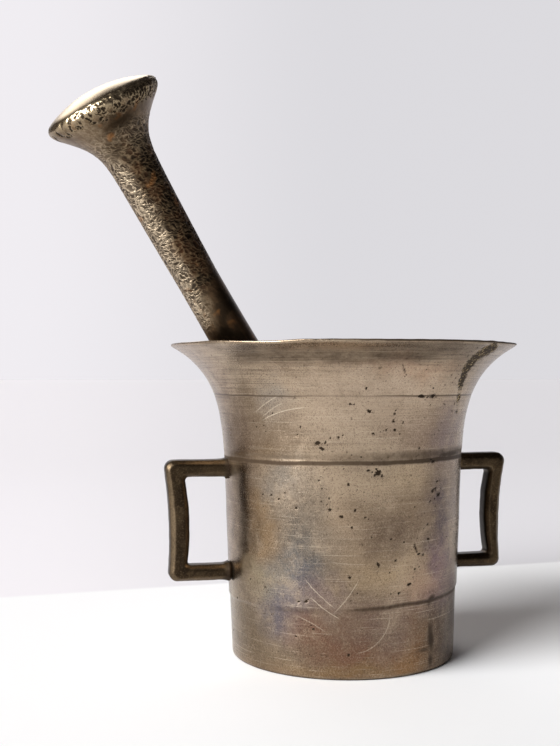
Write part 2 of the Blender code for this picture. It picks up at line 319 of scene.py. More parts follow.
tarnishAndShadeSpots = [  # colours the metal has turned, with painted dark reflections and painted shade among them: side, height, length, width, turn, colour, strength
    # (-34.5, 60) is a painted dark reflection down the left flank
    (-28, 58, 7, 34, 0, (0.25, 0.155, 0.075), 0.8), (-34.5, 60, 5.5, 44, 0, (0.085, 0.052, 0.026), 0.9),
    (-33, 84, 7, 16, 0, (0.16, 0.11, 0.07), 0.7), (-13, 47, 14, 12, -20, (0.115, 0.112, 0.108), 0.75),
    (-20, 36, 13, 9, 30, (0.095, 0.125, 0.155), 0.85), (-21, 21, 12, 13, 0, (0.105, 0.115, 0.15), 0.8),
    (-10, 30, 15, 8, -25, (0.18, 0.125, 0.13), 0.6), (-9, 14, 18, 12, -15, (0.145, 0.088, 0.068), 0.85),
    (4, 9, 24, 11, -12, (0.19, 0.098, 0.058), 0.85), (2, 2, 36, 5, 0, (0.22, 0.14, 0.068), 0.7),
    (22, 8, 9, 8, 0, (0.26, 0.145, 0.065), 0.85), (25, 15, 8, 16, 10, (0.16, 0.09, 0.05), 0.85),
    (13, 19, 15, 11, 30, (0.15, 0.095, 0.075), 0.75), (35, 14, 9, 26, 0, (0.075, 0.045, 0.027), 0.95),
    (31, 27, 12, 6, 0, (0.15, 0.10, 0.09), 0.5), (34, 52, 8, 32, 0, (0.055, 0.042, 0.06), 0.9),
    (29, 40, 8, 22, 0, (0.15, 0.11, 0.085), 0.6), (36, 38, 6, 15, 0, (0.22, 0.14, 0.15), 0.6),
    (29, 32, 9, 8, 0, (0.40, 0.25, 0.18), 0.5), (-25, 87, 15, 13, 20, (0.135, 0.093, 0.058), 0.85),
    (-22, 95, 7, 8, 30, (0.26, 0.25, 0.23), 0.5), (28, 84, 16, 13, 0, (0.22, 0.155, 0.12), 0.6),
    (26, 107, 18, 4, 0, (0.45, 0.25, 0.15), 0.35), (38, 83, 6, 12, 0, (0.16, 0.12, 0.12), 0.6),
    (16, 55, 20, 18, 0, (0.22, 0.155, 0.10), 0.6), (-22, 70, 10, 8, 0, (0.16, 0.15, 0.135), 0.6),
    (21, 71, 16, 6, 10, (0.40, 0.30, 0.19), 0.5), (0, 91, 30, 13, 0, (0.50, 0.385, 0.28), 0.75),
    (22, 101, 24, 8, 0, (0.50, 0.385, 0.285), 0.7), (-4, 102, 22, 6, 0, (0.51, 0.395, 0.29), 0.6),
    (18, 49, 11, 9, 20, (0.125, 0.085, 0.06), 0.75), (8, 45, 9, 10, 0, (0.20, 0.14, 0.095), 0.5),
    (15, 36, 20, 8, 0, (0.42, 0.305, 0.185), 0.6), (-34, 14, 9, 20, 0, (0.15, 0.108, 0.068), 0.8),
    (0, 57, 10, 22, 0, (0.48, 0.36, 0.245), 0.5), (-15, 60, 15, 14, 0, (0.16, 0.128, 0.098), 0.7),
    (12, 67, 12, 7, 0, (0.47, 0.36, 0.25), 0.4), (-28, 33, 8, 10, 30, (0.36, 0.28, 0.16), 0.5),
    # (-16, 46) is painted shade over the sun's highlight on the belt; (-38, 60) is a painted dark reflection
    # down the left flank
    (-16, 46, 12, 22, 0, (0.10, 0.08, 0.062), 0.55), (-38, 60, 3, 60, 0, (0.20, 0.15, 0.10), 0.6),
    (-20, 8, 16, 7, 0, (0.15, 0.11, 0.073), 0.7),
]
darkSpots = [  # brown-black dirt: side, height, length, width, turn, strength
    (31, 25.5, 2.6, 1.6, 50, 0.9), (31.2, 12, 1.5, 7.5, 4, 0.95), (31, 4, 1.2, 3.5, 0, 0.8),
    (28.5, 8.2, 3.4, 1.0, 0, 0.6), (38, 76.3, 8, 1.6, 0, 0.9), (-38.5, 74, 5, 4, 0, 0.5),
    (-38.5, 70, 3, 14, 0, 0.35), (-33.5, 36, 3.5, 6, 0, 0.55), (20.5, 106.0, 0.5, 2.6, 20, 0.6),
    (12.4, 106.6, 1.0, 0.8, 0, 0.7),
]
darkScratches = [  # path of side and height, width, strength
    (((45.6, 113.6), (39.8, 107.8), (35.4, 100.9)), 0.45, 0.6), (((40.2, 104.6), (38.2, 101.8)), 0.4, 0.6),
    (((32.3, 96.8), (38.8, 91.6), (40.5, 96.9)), 0.5, 0.6), (((20.0, 107.6), (21.4, 104.4)), 0.5, 0.7),
    (((-23.6, 42.6), (-20.0, 46.2), (-16.1, 48.5)), 0.4, 0.55), (((-30.4, 20.2), (-24.0, 21.0)), 0.5, 0.7),
    (((-44.0, 84.2), (-36.3, 84.8)), 0.45, 0.6), (((-44.3, 82.2), (-36.3, 83.0)), 0.4, 0.45),
    (((25.0, 45.8), (25.8, 43.2)), 0.6, 0.8),
]
gouge = [  # the long dark scar under the rim
    (52.0, 113.9), (48.8, 112.3), (45.8, 110.2), (42.8, 106.1), (41.5, 100.8), (40.7, 91.2)]


def band(value, middle, width):
    # a smooth bump of height 1 round the middle
    return np.exp(-((value - middle) / width) ** 2)


def mortarOutside(z):
    # outer radius at a height, in mm
    m = mortar
    neck = (m["neck"] + m["neckTaper"] * (z - m["neckAt"])
            + m["flare"] * np.exp((z - m["top"]) / m["flareFade"])
            - m["cove"] * band(z - m["beltTopAt"], m["coveWidth"], m["coveWidth"])
            - m["turnedDepth"] * band(z, m["turnedLine"], m["turnedWidth"])
            - m["faintDepth"] * band(z, m["faintLine"], m["faintWidth"]))
    share = (m["beltTop"] - m["beltEnd"]) * (z - m["beltEndAt"]) / (m["beltTopAt"] - m["beltEndAt"])
    belt = m["beltEnd"] + share
    foot = m["footEnd"] + (m["foot"] - m["footEnd"]) * (z - m["footFrom"]) / m["footHeight"]
    r = foot + (belt - foot) * softStep(z, *(m["beltEndAt"] + step for step in m["beltEndStep"]))
    return r + (neck - r) * softStep(z, *(m["beltTopAt"] + step for step in m["beltTopStep"]))


def mortarInside(z):
    m = mortar
    flare = m["boreFlare"] * np.exp((z - m["top"]) / m["boreFade"])
    return m["bore"] + m["boreTaper"] * (z - m["neckAt"]) + flare


def wave(a, base, waves):
    # a line that wanders up and down round the mortar
    line = base
    for size, times, start in waves:
        line = line + size * np.sin(times * a + start)
    return line


def noiseRound(turns, wiggles, seed):
    # smooth noise that closes on itself round the axis
    return np.array([noise.noise(Vector((math.cos(t) * wiggles, math.sin(t) * wiggles, seed)))
                     for t in turns])


def nearLine(side, height, path):
    # distance from each point to a broken line, and how far along it that is, 0 to 1
    best, share = np.full(side.shape, 1e9), np.zeros(side.shape)
    for i, (a, b) in enumerate(zip(path, path[1:])):
        run = np.array(b) - np.array(a)
        t = np.clip(((side - a[0]) * run[0] + (height - a[1]) * run[1]) / (run @ run), 0, 1)
        gap = np.hypot(side - a[0] - t * run[0], height - a[1] - t * run[1])
        share = np.where(gap < best, (i + t) / (len(path) - 1), share)
        best = np.minimum(best, gap)
    return best, share


def mortarRings():
    # radius and height of each ring: under the base, up the outside, over the lip and down the bowl
    m = mortar
    outside = [(0.0, z) for z in np.concatenate([np.arange(*row) for row in m["rows"]])]
    bore = [(mortarInside(z), z) for z in m["insideRows"]]
    edge = mortarInside(m["floor"] + m["bowl"]) - m["bowl"]
    bowl = [(edge + m["bowl"] * math.cos(t), m["floor"] + m["bowl"] * (1 - math.sin(t)))
            for t in np.linspace(m["bowlFrom"], math.pi / 2, m["bowlRows"])]
    bed = [(r, m["floor"]) for r in m["bed"]]
    first, last = len(m["under"]), len(m["under"]) + len(outside)
    return m["under"] + outside + m["lip"] + bore + bowl + bed, first, last


def roundPoints(radius, turn, height):
    return np.stack([radius * np.sin(turn), -radius * np.cos(turn), height], -1).reshape(-1, 3)


def mortarTarnishAndShade(side, height, slow, slowToo, mid, patch, front):
    # one colour and strength from all the tarnish spots, among them painted dark reflections and painted
    # shade, and patches on the back
    m = mortar
    side = side + 5.0 * slow + 2.0 * mid
    height = height + 5.0 * slowToo + 2.5 * mid
    coats = []
    for s, h, length, wide, lean, tint, much in tarnishAndShadeSpots:
        reach = (length * m["tarnishAndShadeSpread"], wide * m["tarnishAndShadeSpread"])
        coats.append((spot(side, height, (s, h), reach, lean) * much * front, tint))
    coats.append((softStep(patch, 0.0, 0.5) * (1 - front) * 0.5, m["backTarnish"]))
    colour, strength = np.zeros((*side.shape, 3)), np.zeros(side.shape)
    for here, tint in coats:
        colour = colour * (1 - here[..., None]) + np.array(tint) * here[..., None]
        strength = strength + here - strength * here
    return colour / np.maximum(strength, 1e-3)[..., None], strength


def mortarGrimeAndShade(radius, side, height, heightIn, rows, outer, front):
    # dirt under the lower belt's edge, in the turned line, at the lip and at the foot; a dark band in the
    # cove above the upper belt; painted shade on the upper belt's ledge over a dark line of dirt; a painted
    # dark reflection under the lip, with some patina
    m = mortar
    sideIn = side[rows]
    heavy = 0.5 + 0.45 * softStep(sideIn, -30, 30)
    fromTop, fromEnd = heightIn - m["beltTopAt"], heightIn - m["beltEndAt"]
    grimeAndShade = np.zeros(radius.shape)
    for dirtAndShade in (0.6 * heavy * band(fromTop, 1.2, 1.4 + 0.8 * heavy),
                 # painted shade on the upper belt's ledge, where the sun's highlight would be, over a dark
                 # line of dirt
                 (1.0 + 0.25 * heavy) * band(fromTop, -0.8, 0.78),
                 0.75 * softStep(sideIn, -8, 10) * band(fromEnd, -0.7, 1.0),
                 0.16 * band(fromEnd, -0.6, 0.7)):
        grimeAndShade[rows] = np.maximum(grimeAndShade[rows], dirtAndShade)
    coats = [
        0.5 * outer * band(height, m["turnedLine"], 0.3) * (0.35 + 0.65 * np.abs(np.clip(side / 26, -1, 1))),
        # a painted dark reflection under the lip, with some patina
        (0.55 * outer * band(height, 110.4, 2.6) * softStep(side, -40, -28)
         * (1 - 0.75 * softStep(side, 22, 40))),
        0.7 * (1 - softStep(height, 0.2, 1.2)) * (radius > 39),
        0.9 * softStep(height, 115.0, 115.5) * (radius > 62) * softStep(side + 30 * (1 - front), -8, 16)]
    for s, h, length, wide, lean, much in darkSpots:
        coats.append(much * spot(side, height, (s, h), (length * 1.3, wide * 1.3), lean) * front * outer)
    for dirtAndShade in coats:
        grimeAndShade = np.maximum(grimeAndShade, dirtAndShade)
    return grimeAndShade


def mortarSkin(finish):
    m = mortar
    turns = roundTurns(m["columns"], frontTurn, m["crowd"])
    rings, first, last = mortarRings()
    rows = slice(first, last)
    radius = np.repeat(np.array([r for r, z in rings])[:, None], len(turns), 1)
    height = np.repeat(np.array([z for r, z in rings])[:, None], len(turns), 1)
    turn = np.repeat(turns[None, :], len(rings), 0)
    offFront = turn - frontTurn

    z, a = height[rows], offFront[rows]
    lower, upper = wave(a, *m["beltEndWave"]), wave(a, *m["beltTopWave"])
    share = np.clip((z - 24) / 51, 0, 1)
    shift = (lower + (upper - lower) * share) * softStep(z, *m["waveFrom"]) * (1 - softStep(z, *m["waveTo"]))
    radius[rows] = mortarOutside(z - shift)

    side, depth = radius * np.sin(offFront), np.cos(offFront)
    points = roundPoints(radius, turn, height)
    slow, slowToo, mid, fine, patch = (roughness3(points, *scaleAndSeed).reshape(radius.shape)
                                       for scaleAndSeed in mortarNoises.values())
    outer = np.zeros(radius.shape)
    outer[rows] = 1
    front = softStep(depth, 0.0, 0.12)

    nearRim = softStep(height, 111, 115.5) * (radius > 57)
    ripple = noiseRound(turns, 2.2, 5.0)[None, :] + 0.6 * noiseRound(turns, 11.0, 9.0)[None, :]
    dip = spot(side, 0 * side, (m["lipDipAt"], 0), (m["lipDipReach"], 1))
    height = height + nearRim * m["lipUneven"] * ripple - nearRim * m["lipDip"] * dip
    radius = radius + outer * m["uneven"] * slow
    radius += m["grainy"] * fine * outer * (1 - softStep(height, 106, 111))

    gap, run = nearLine(side, height, gouge)
    width = m["scarWidth"] - m["scarNarrows"] * run
    scar = (1 - softStep(gap + 0.5 * fine, width * 0.45, width * 1.15)) * front * outer
    radius -= m["scarDepth"] * scar

    pit = np.zeros(radius.shape)
    for s, h, length, wide, lean in handPits:
        pit = np.maximum(pit, spot(side, height, (s, h), (length, wide), lean))
    pit = pit * front * outer
    radius -= m["handPitDepth"] * pit

    crowd = np.full(radius.shape, 0.05)
    for s, h, length, wide, much in pitFields:
        crowd += much * spot(side, height, (s, h), (length, wide)) * front
    crowd += 0.16 * softStep(slow, 0.1, 0.5)
    crowd = np.clip(crowd, 0, 1.2) * outer * (height > 3) * (1 - softStep(height, 108, 111))

    colour, strength = mortarTarnishAndShade(side, height, slow, slowToo, mid, patch, front)
    tint = np.concatenate([colour, strength[..., None] * outer[..., None]], -1)
    grimeAndShade = mortarGrimeAndShade(radius, side, height, height[rows] - shift, rows, outer, front)
    interior = np.zeros(radius.shape)
    interior[last + len(m["lip"]):] = 1

    points = np.vstack([roundPoints(radius, turn, height) * mm, [[0, 0, 0], [0, 0, m["floor"] * mm]]])
    marks = {key: np.append(values.reshape(-1), [0.0, 0.0])
             for key, values in (("pit", pit), ("pitting", crowd), ("grimeAndShade", grimeAndShade))}
    marks["inside"] = np.append(interior.reshape(-1), [1.0, 1.0])
    marks["tarnishAndShade"] = np.vstack([tint.reshape(-1, 4), np.zeros((2, 4))])
    piece = meshObject("mortarBody", points, gridFaces(len(rings), len(turns)), finish, marks)
    return runTree(piece, castingPits(finish), {
        "Density": m["pitDensity"], "Smallest": m["pitSmallest"] * mm, "Largest": m["pitLargest"] * mm,
        "Depth": m["pitDepth"], "Seed": m["pitSeed"], "Finish": finish})


def castingPits(finish):
    # scatters pits of random size where "pitting" is high, sinks them, and marks them
    tree, bench, given = geometryTree("castingPits", {
        "Density": 1.0, "Smallest": 1.0, "Largest": 1.0, "Depth": 1.0, "Seed": 1, "Finish": finish})
    number, onPoints = {"data_type": "FLOAT"}, {"data_type": "FLOAT", "domain": "POINT"}
    dots = bench.add("GeometryNodeDistributePointsOnFaces", None,
                     {"Mesh": given["Geometry"], "Density": bench.stored("pitting") * given["Density"],
                      "Seed": given["Seed"]})
    chance = bench.add("FunctionNodeRandomValue", number, {"Seed": given["Seed"]}, 1)
    size = given["Smallest"] + (given["Largest"] - given["Smallest"]) * chance * chance * chance
    sized = bench.add("GeometryNodeStoreNamedAttribute", onPoints,
                      {"Geometry": dots, "Name": "size", "Value": size})
    here = bench.add("GeometryNodeInputPosition")
    nearest = bench.add("GeometryNodeSampleNearest", {"domain": "POINT"},
                        {"Geometry": sized, "Sample Position": here})
    reach = bench.add("GeometryNodeSampleIndex", onPoints,
                      {"Geometry": sized, "Value": bench.stored("size"), "Index": nearest})
    centre = bench.add("GeometryNodeSampleIndex", {"data_type": "FLOAT_VECTOR", "domain": "POINT"},
                       {"Geometry": sized, "Value": here, "Index": nearest})
    bowl = (bench.vector("DISTANCE", here, centre, out="Value") / reach).rise(0.25, 1.0, 1.0, 0.0)
    sunk = bench.vector("SCALE", bench.add("GeometryNodeInputNormal"),
                        Scale=bowl * reach * given["Depth"] * -1.0)
    lowered = bench.add("GeometryNodeSetPosition", None, {"Geometry": given["Geometry"], "Offset": sunk})
    marked = bench.add("GeometryNodeStoreNamedAttribute", onPoints,
                       {"Geometry": lowered, "Name": "pit", "Value": bench.stored("pit").larger(bowl)})
    closeTree(bench, marked, given["Finish"])
    return tree


def pathGap(b, side, height, path):
    # distance from the shaded point to a broken line, bending a little near its ends
    best = None
    for (x0, z0), (x1, z1) in zip(path, path[1:]):
        rx, rz = x1 - x0, z1 - z0
        t = (((side - x0) * rx + (height - z0) * rz) / (rx * rx + rz * rz)).rise(0.0, 1.0)
        gap = b.distance(side - x0 - t * rx, height - z0 - t * rz)
        best = gap if best is None else best.smaller(gap)
    return best


mortarTones = {
    "dull": (0.215, 0.155, 0.102), "bright": (0.395, 0.303, 0.213), "blotch": (0.20, 0.15, 0.11),
    "latheLight": (0.46, 0.36, 0.255), "latheDark": (0.16, 0.115, 0.08), "broadDark": (0.17, 0.125, 0.09),
    "foot": (0.13, 0.083, 0.05), "grainLight": (0.56, 0.445, 0.325), "grainDark": (0.08, 0.052, 0.033),
    "fleck": (0.07, 0.045, 0.03), "scratch": (0.80, 0.68, 0.52), "turned": (0.075, 0.05, 0.034),
    "dirtAndShade": (0.042, 0.026, 0.015), "insideDark": (0.05, 0.034, 0.022), "insidePale": (0.16, 0.115, 0.075),
    "pit": (0.020, 0.012, 0.006), "cut": (0.05, 0.032, 0.022),
    "scarDark": (0.018, 0.012, 0.008), "scarPale": (0.45, 0.33, 0.17),
}
fineScratches = [  # lean in degrees, scale, where the noise is cut
    (14, 0.9, 0.70), (-40, 0.8, 0.67), (70, 0.9, 0.67), (-12, 1.5, 0.71), (88, 1.1, 0.68), (38, 1.0, 0.68),
]
scratchArcs = [  # centre side, centre height, radius, where along it, reach, strength
    (-10.5, 60.0, 33.4, (-19.5, 89.5), 9.5, 0.95), (-6.0, 66.0, 35.0, (-26.0, 94.6), 6.0, 0.75),
    (-9.0, 70.0, 27.2, (-24.0, 92.8), 5.0, 0.6), (3.2, 22.5, 13.2, (13.5, 13.5), 10.5, 0.5),
    (20.0, 60.0, 44.0, (-6.0, 24.6), 7.0, 0.8), (-34.0, 55.0, 44.5, (2.0, 28.5), 8.0, 0.7),
    (30.0, 70.0, 55.5, (-8.0, 29.5), 8.0, 0.7), (-30.0, -20.0, 44.0, (-10.0, 19.5), 6.0, 0.5),
    (8.0, 130.0, 90.0, (2.0, 40.5), 7.0, 0.4),
]
tinyHoles = [(0.42, 0.30), (0.8, 0.26), (1.6, 0.22)]  # scale and share of the cells


def strongest(wires):
    wires = list(wires)
    best = wires[0]
    for wire in wires[1:]:
        best = best.larger(wire)
    return best


def mortarFinish():
    # worn cast brass: tone patches, lathe lines, tarnish, grime, pits and scratches; the tarnish and grime
    # also carry painted dark reflections and painted shade
    material, shader, b = newFinish("mortarBrass")
    tone = mortarTones
    shader.inputs["Specular IOR Level"].default_value = 0.1
    place = b.objectPlace()
    side, back, height = b.split(b.turned(place, (0, 0, -frontTurn)))
    inside = b.attribute("inside")
    outside = 1.0 - inside
    facing = (back * -1.0).rise(0.0, 6.0) * outside
    grain = b.cloud(place, 1.9, 3.0, 0.7)
    fleck = b.cloud(place, 0.75, 4.0, 0.75)
    drift = b.cloud(place, 0.055, 4.0, 0.6, 0.6)
    blotch = b.cloud(place, 0.2, 4.0, 0.65, 0.4)
    lathe = b.cloud(b.vector("MULTIPLY", place, (0.035, 0.035, 2.4)), 1.0, 3.0, 0.65)
    broadLathe = b.cloud(b.vector("MULTIPLY", place, (0.02, 0.02, 0.55)), 1.0, 3.0, 0.6)
    brushed = height.rise(76.0, 96.0)
    strength = b.attribute("tarnishAndShade", "Alpha") * blotch.rise(0.2, 0.6, 0.55, 1.1)
    colour = b.layers(
        b.mix(drift.rise(0.38, 0.62), tone["dull"], tone["bright"]),
        (blotch.rise(0.45, 0.75) * 0.5, tone["blotch"]),
        ((lathe - 0.5).rise(-0.12, 0.22) * (0.35 + brushed * 0.3), tone["latheLight"]),
        ((0.5 - lathe).rise(0.0, 0.16) * brushed * 0.55, tone["latheDark"]),
        ((0.5 - broadLathe).rise(0.02, 0.2) * 0.35, tone["broadDark"]),
        (height.rise(0.0, 27.0, 0.5, 0.0), tone["foot"]),
        # tarnish, with the painted dark reflections down the left flank and the painted shade on the belt
        (strength.smaller(1.0), b.attribute("tarnishAndShade", "Color")),
        ((grain - 0.5).rise(0.0, 0.2) * 0.28, tone["grainLight"]),
        ((0.5 - grain).rise(0.0, 0.2) * 0.46, tone["grainDark"]),
        (fleck.rise(0.60, 0.67) * 0.6, tone["fleck"]))

    flat = b.join(side, 0.0, height)
    scratches = strongest(
        b.cloud(b.turned(flat, (0, math.radians(angle), 0), (0.05, 1.0, 2.6)), scale, 1.0, 0.4)
        .rise(cut, cut + 0.08) * 0.42 for angle, scale, cut in fineScratches)
    for cx, cz, reach, (wx, wz), span, much in scratchArcs:
        away = b.distance(side - cx, height - cz)
        line = abs(away - reach + (fleck - 0.5) * 0.5).fall(0.05, 0.26)
        near = b.distance(side - wx, height - wz).fall(span * 0.6, span)
        scratches = scratches.larger(line * near * much)
    scratches = scratches * facing * (0.55 + grain * 0.6)
    turning = abs(height - 97.2 + (drift - 0.5)).fall(0.12, 0.42)
    turning = turning * (0.35 + (abs(side) - 8.0).rise(0.0, 14.0) * 0.65)
    wear = 1.0 + (blotch - 0.5) * 0.9 + (fleck - 0.5) * 0.9 + (grain - 0.5) * 0.4
    # grime, with the painted shade on the upper belt's ledge and the painted dark reflection under the lip
    dirtAndShade = (wear * b.attribute("grimeAndShade")).rise(0.05, 0.85)
    crowd = b.attribute("pitting")
    holes = []
    for scale, few in tinyHoles:
        radius = (b.cellChance(place, scale) - 1.0 + few + crowd * 0.5).larger(0.0) * 0.42
        holes.append((radius - b.cells(place, scale)).rise(0.0, 0.05) * (radius > 0.02))
    holes = strongest(holes)
    deep = (b.attribute("pit") + (fleck - 0.5) * 1.2 + (grain - 0.5) * 1.3).rise(0.38, 0.58)
    pits = deep.larger(holes * 0.85)
    cuts = strongest(
        (pathGap(b, side, height, path) + (fleck - 0.5) * 0.5).fall(wide * 0.35, wide * 0.8) * much
        for path, wide, much in darkScratches)
    scar = pathGap(b, side, height, gouge) + (fleck - 0.5) * 2.6 + (grain - 0.5) * 1.6
    scar = (scar / height.rise(90.0, 112.0, 0.6, 1.7)).fall(0.7, 1.15) * facing
    scarTone = b.mix(b.cloud(place, 1.1, 2.0, 0.7).rise(0.57, 0.64), tone["scarDark"], tone["scarPale"])
    colour = b.layers(
        colour,
        ((scratches * 0.6).smaller(1.0), tone["scratch"]),
        (turning * outside * (0.45 + grain * 0.6), tone["turned"]),
        # the dirt colour, which also lays the painted shade and the painted dark reflection
        (dirtAndShade * 0.9, tone["dirtAndShade"]),
        (inside * 0.75, b.mix(blotch.rise(0.3, 0.7), tone["insideDark"], tone["insidePale"])),
        (pits, tone["pit"]),
        (cuts * facing, tone["cut"]),
        (scar * 0.9, scarTone))

    caked = pits.larger(scar).larger(cuts * 0.8).larger(dirtAndShade * 0.6)
    rough = 0.19 + drift * 0.08 + grain * 0.08 + caked * 0.4
    relief = lathe * 0.35 + broadLathe * 0.3 + grain * 0.35 + fleck * 0.3
    relief = relief - holes * 1.6 - scratches * 0.3 - deep * 0.8
    plug(b, shader, Base_Color=colour, Metallic=1.0 - caked * 0.9, Roughness=rough.smaller(1.0),
         Normal=b.bump(relief, 0.55, 0.00012))
    return material


# the handles: bars cast into the wall, sizes in mm
handles = {
    "handleLeft": {"node": "handle_left", "way": -1, "top": 73.2, "bottom": 28.8, "upper": 6.3, "lower": 5.9,
                   "outer": (68.3, 66.0, 66.5), "inner": (60.6, 58.8, 59.6), "seed": 3.0,
                   "lumps": ((45.0, 34.4, 1.2, 0.9), (44.9, 66.8, 0.8, 0.8))},
    "handleRight": {"node": "handle_right", "way": 1, "top": 74.0, "bottom": 29.6, "upper": 6.5, "lower": 5.2,
                    "outer": (66.4, 63.4, 63.7), "inner": (59.3, 57.2, 58.7), "seed": 8.0,
                    "lumps": ((45.1, 74.6, 0.8, 2.4), (45.2, 35.2, 0.9, 0.8))},
}
handleBar = {"depth": 8.6, "chamfer": 1.8, "root": 43.6, "outerCorner": 3.2, "innerCorner": 1.3,
             "collar": 0.28, "collarFade": 1.0, "uneven": 0.16, "grainy": 0.05,
             "armRows": 34, "cornerRows": 11, "gripRows": 44}


def gripLine(radii, top, bottom, count):
    # the grip's gently hollowed line through three radii
    high, middle, low = radii
    line = []
    for i in range(count):
        t = 2 * i / (count - 1) - 1
        reach = middle + (low - high) / 2 * t + ((low + high) / 2 - middle) * t * t
        line.append((reach, top + (bottom - top) * i / (count - 1)))
    return line


def corner(before, at, after, radius, count):
    # points of a rounded corner
    a, c, d = (Vector(p) for p in (before, at, after))
    one, two = (a - c).normalized(), (d - c).normalized()
    half = one.angle(two) / 2
    away = radius / math.tan(half)
    middle = c + (one + two).normalized() * radius / math.sin(half)
    start, end = c + one * away - middle, c + two * away - middle
    turn = start.angle(end)
    return [tuple(middle + (start * math.sin(turn * (1 - t)) + end * math.sin(turn * t)) / math.sin(turn))
            for t in np.linspace(0, 1, count)]


def straight(a, b, count):
    return [(a[0] + (b[0] - a[0]) * t, a[1] + (b[1] - a[1]) * t) for t in np.linspace(0, 1, count)]


def handleEdge(radii, top, bottom, radius, root):
    # one long edge of a handle, from the upper root round to the lower root
    bar = handleBar
    grip = gripLine(radii, top, bottom, 9)
    high = corner((root, top), grip[0], grip[1], radius, bar["cornerRows"])
    low = corner(grip[-2], grip[-1], (root, bottom), radius, bar["cornerRows"])
    middle = [p for p in gripLine(radii, top, bottom, 200) if low[0][1] < p[1] < high[-1][1]]
    middle = [middle[int(i)] for i in np.linspace(1, len(middle) - 2, bar["gripRows"])]
    upper = straight((root, top), high[0], bar["armRows"])
    lower = straight(low[-1], (root, bottom), bar["armRows"])
    return upper[:-1] + high + middle + low + lower[1:]


def handlePiece(name, spec, finish):
    bar = handleBar
    outer = handleEdge(spec["outer"], spec["top"], spec["bottom"], bar["outerCorner"], bar["root"])
    inner = handleEdge(spec["inner"], spec["top"] - spec["upper"], spec["bottom"] + spec["lower"],
                       bar["innerCorner"], bar["root"])
    half, cut = bar["depth"] / 2, bar["chamfer"]
    points, edgeMarks, rootShadeMarks, innerShadeMarks = [], [], [], []
    for (ox, oz), (ix, iz) in zip(outer, inner):
        width = math.hypot(ix - ox, iz - oz)
        dx, dz = (ix - ox) / width, (iz - oz) / width
        nearest = min(ox, ix)
        collar = bar["collar"]
        if nearest > 44:
            collar = bar["collar"] * math.exp(-(nearest - 44.8) / bar["collarFade"])
        corners = [(cut, -half), (width - cut, -half), (width, cut - half), (width, half - cut),
                   (width - cut, half), (cut, half), (0, half - cut), (0, cut - half)]
        for (u0, v0), (u1, v1) in zip(corners, corners[1:] + corners[:1]):
            for t in (0.12, 0.37, 0.63, 0.88):
                u, v = u0 + (u1 - u0) * t, v0 + (v1 - v0) * t
                u = u + collar * (2 * u / width - 1)
                v = v * (1 + collar / half)
                points.append((spec["way"] * (ox + dx * u), v, oz + dz * u))
                onChamfer = (u0 != u1) and (v0 != v1)
                edgeMarks.append(1.0 if onChamfer else 0.25 if t in (0.12, 0.88) else 0.0)
                # painted shade on the grip's inner face, which faces the mortar's body
                innerShadeMarks.append(softStep(u / width, 0.86, 0.97) * softStep(dx * dx, 0.3, 0.9))
                # painted shade where the arms meet the mortar's body
                rootShadeMarks.append(math.exp(-max(nearest - 44.6, 0) / 1.6))
    rings = len(outer)
    ring = len(points) // rings
    points = np.array(points)
    centre = points.reshape(rings, ring, 3).mean(1)
    wobble = (roughness3(points, 0.10, spec["seed"]) * bar["uneven"]
              + roughness3(points, 0.5, spec["seed"] + 5) * bar["grainy"])
    outward = points - np.repeat(centre, ring, 0)
    points = points + outward / np.linalg.norm(outward, axis=1)[:, None] * wobble[:, None]
    points = np.vstack([points, centre[[0, -1]]])
    marks = {"edge": np.append(edgeMarks, [0, 0]), "root": np.append(rootShadeMarks, [1, 1]),
             "inner": np.append(innerShadeMarks, [0, 0])}
    piece = meshObject(name, points * mm, gridFaces(rings, ring), finish, marks)
    mesh = bmesh.new()
    mesh.from_mesh(piece.data)
    for r, z, wide, tall in spec["lumps"]:
        made = bmesh.ops.create_icosphere(mesh, subdivisions=3, radius=1.0)
        for v in made["verts"]:
            bulk = 1.0 + 0.18 * noise.noise(v.co * 1.7 + Vector((spec["seed"], z, 0)))
            v.co = Vector((spec["way"] * (r + v.co.x * wide * bulk), v.co.y * wide * 1.6 * bulk - 1.2,
                           z + v.co.z * tall * bulk)) * mm
    bmesh.ops.recalc_face_normals(mesh, faces=mesh.faces)
    mesh.to_mesh(piece.data)
    mesh.free()
    piece.data.shade_smooth()
    return piece


handleTones = {
    "dull": (0.026, 0.017, 0.010), "bright": (0.060, 0.041, 0.023), "fine": (0.15, 0.10, 0.055),
    "wornAndHighlit": (0.19, 0.14, 0.088), "grainLight": (0.30, 0.22, 0.14), "grainDark": (0.03, 0.02, 0.013),
    "root": (0.03, 0.02, 0.014), "inner": (0.012, 0.008, 0.005),
}


